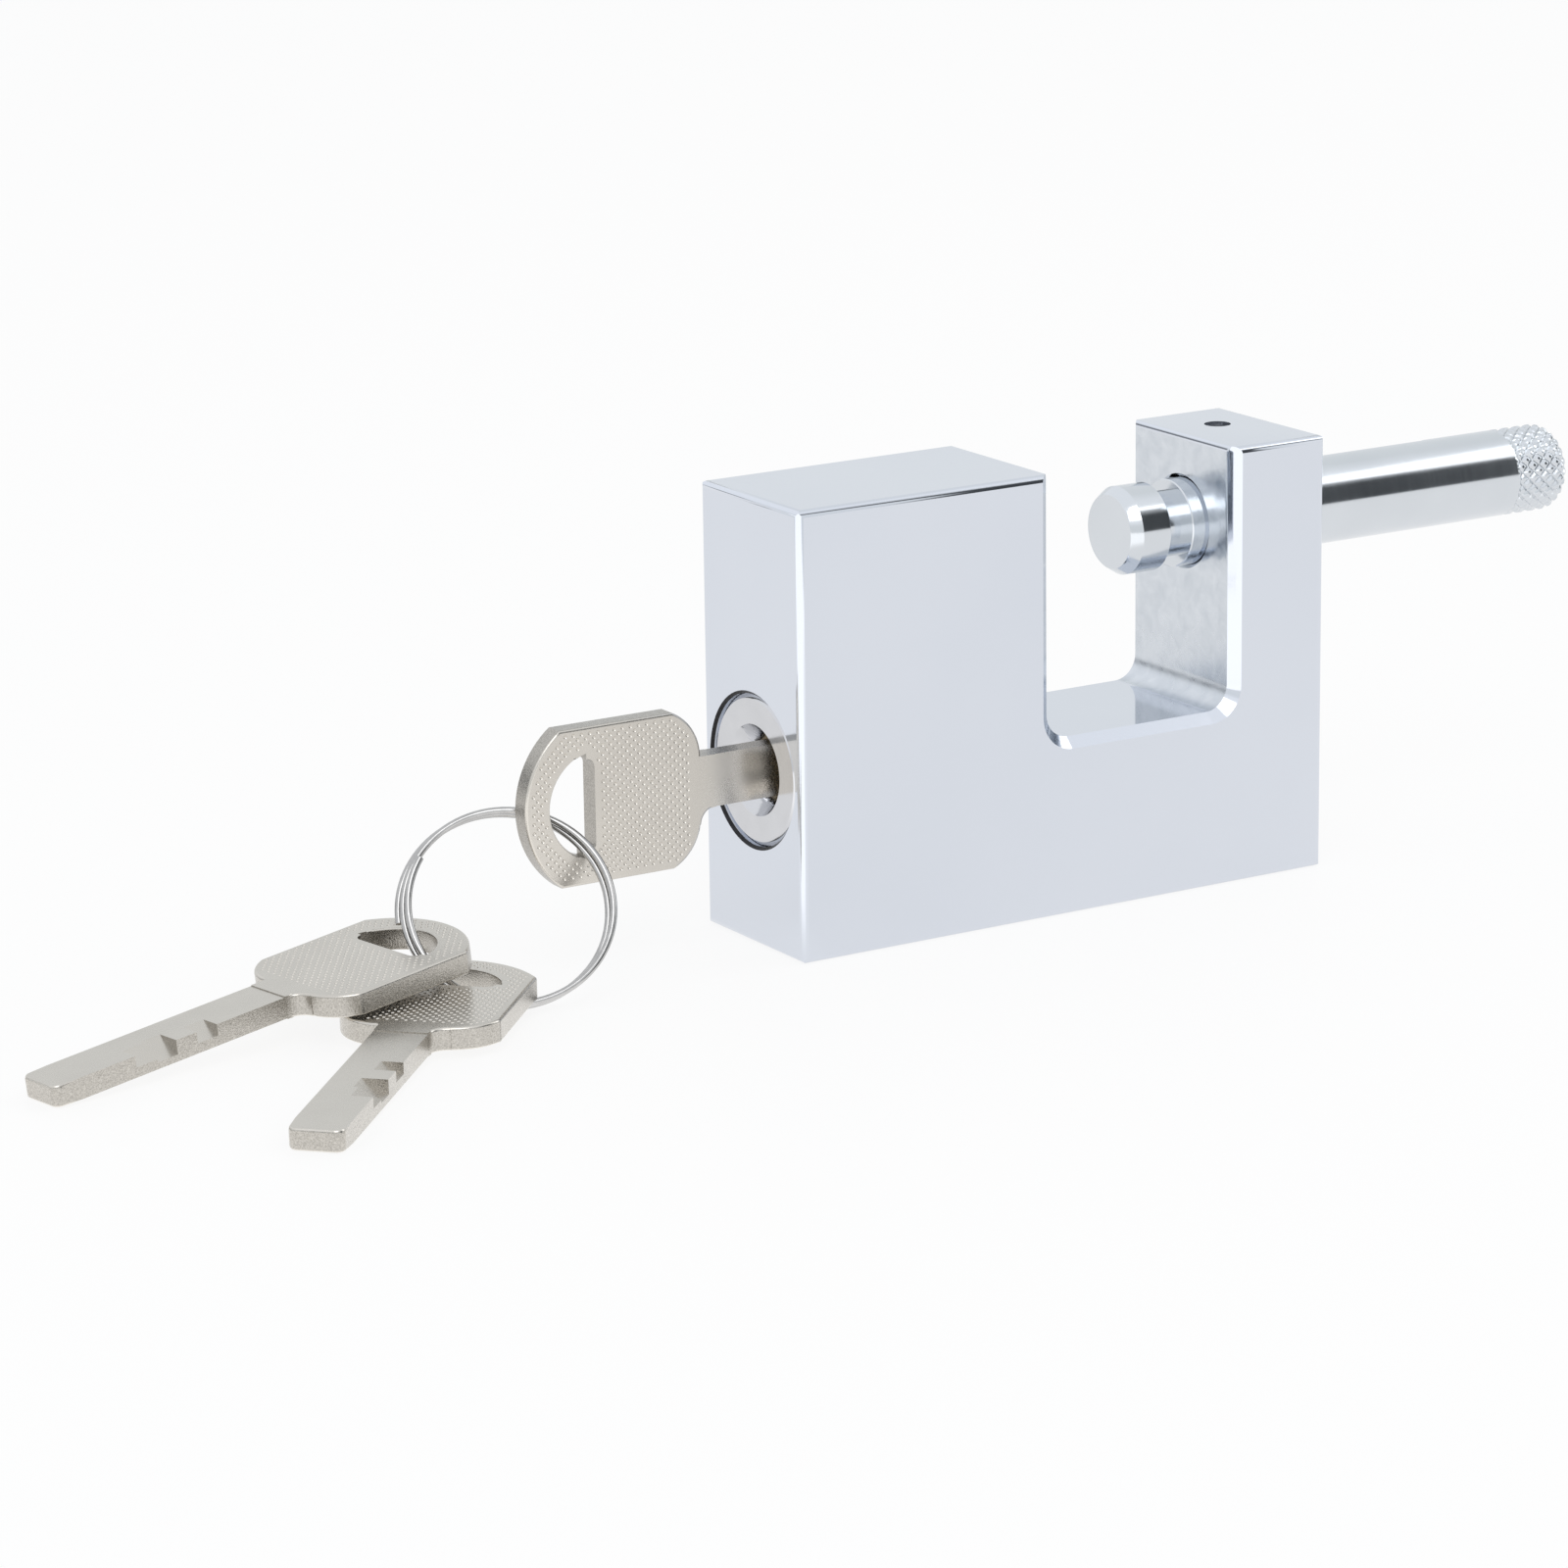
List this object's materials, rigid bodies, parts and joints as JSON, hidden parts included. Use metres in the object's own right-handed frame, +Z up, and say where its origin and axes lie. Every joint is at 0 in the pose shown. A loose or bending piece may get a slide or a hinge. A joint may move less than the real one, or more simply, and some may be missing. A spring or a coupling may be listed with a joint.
{
  "type": "block padlock",
  "caption": "Block padlock for chains: a straight sliding bolt crosses the gap between its towers, and a disc cylinder with keys on a split ring locks it.",
  "frame": {"origin": "middle of the block's flat bottom face", "axes": "+X from the keyhole face towards the bolt's knurled end, +Y to the back of the block, +Z up, as it stands in use on the table"},
  "size_m": [0.2381, 0.0583, 0.06],
  "materials": {
    "block": "bright chrome over a cast block",
    "bolt_steel": "polished hard chrome, rolled diamond knurl at the outer end",
    "pin_steel": "ground steel",
    "cylinder_nickel": "turned, nickel plated face",
    "brass": "turned and stamped brass",
    "spacer_steel": "stamped steel",
    "spring_steel": "drawn spring wire",
    "key_nickel": "nickel silver, fine dimples on the bow's faces",
    "ring_steel": "polished nickel plated wire"
  },
  "bodies": {
    "block": {"lock_body": "block", "bolt_stop_pin": "pin_steel", "cylinder_shell": "cylinder_nickel", "barrel_pin": "pin_steel", "latch_spring": "spring_steel"},
    "bolt": {"shackle_bolt": "bolt_steel"},
    "drum": {"disc_drum": "brass", "locking_disc_1": "brass", "locking_disc_2": "brass", "locking_disc_3": "brass", "locking_disc_4": "brass", "locking_disc_5": "brass", "locking_disc_6": "brass", "locking_disc_7": "brass", "locking_disc_8": "brass", "disc_spacer_1": "spacer_steel", "disc_spacer_2": "spacer_steel", "disc_spacer_3": "spacer_steel", "disc_spacer_4": "spacer_steel", "disc_spacer_5": "spacer_steel", "disc_spacer_6": "spacer_steel", "disc_spacer_7": "spacer_steel", "sidebar": "pin_steel"},
    "latch": {"latch_pin": "pin_steel"},
    "first_key": {"key_1": "key_nickel"},
    "ring": {"split_ring": "ring_steel"},
    "upper_loose_key": {"key_2": "key_nickel"},
    "lower_loose_key": {"key_3": "key_nickel"}
  },
  "joints": [
    {"name": "bolt_slide", "type": "slide", "parent": "block", "child": "bolt", "axis": [1, 0, 0], "range_m": [-0.0331, 0.006]},
    {"name": "drum_turn", "type": "hinge", "parent": "block", "child": "drum", "pos_m": [-0.025, 0, 0.0235], "axis": [-1, 0, 0], "range_deg": [0, 90]},
    {"name": "latch_lift", "type": "slide", "parent": "block", "child": "latch", "axis": [0, 0, 1], "range_m": [0, 0.00175], "deforming": ["latch_spring"]},
    {"name": "key_slide", "type": "slide", "parent": "drum", "child": "first_key", "axis": [-1, 0, 0], "range_m": [0, 0.045]},
    {"name": "ring_swing", "type": "hinge", "parent": "first_key", "child": "ring", "pos_m": [-0.0691, 0, 0.0195], "axis": [0, 0, 1], "range_deg": [-30, 4]},
    {"name": "upper_key_round_ring", "type": "hinge", "parent": "ring", "child": "upper_loose_key", "pos_m": [-0.07954, -0.00194, 0.01161], "axis": [-0.3136, -0.7387, 0.5967], "range_deg": [-45, 0]},
    {"name": "lower_key_turn", "type": "hinge", "parent": "ring", "child": "lower_loose_key", "pos_m": [-0.08959, -0.00433, 0.00336], "axis": [-0.0228, -0.0228, 0.9995], "range_deg": [-8, 3]}
  ],
  "couplings": [
    {"joint": "latch_lift", "follows": "drum_turn", "m_per_rad": 0.001114}
  ]
}
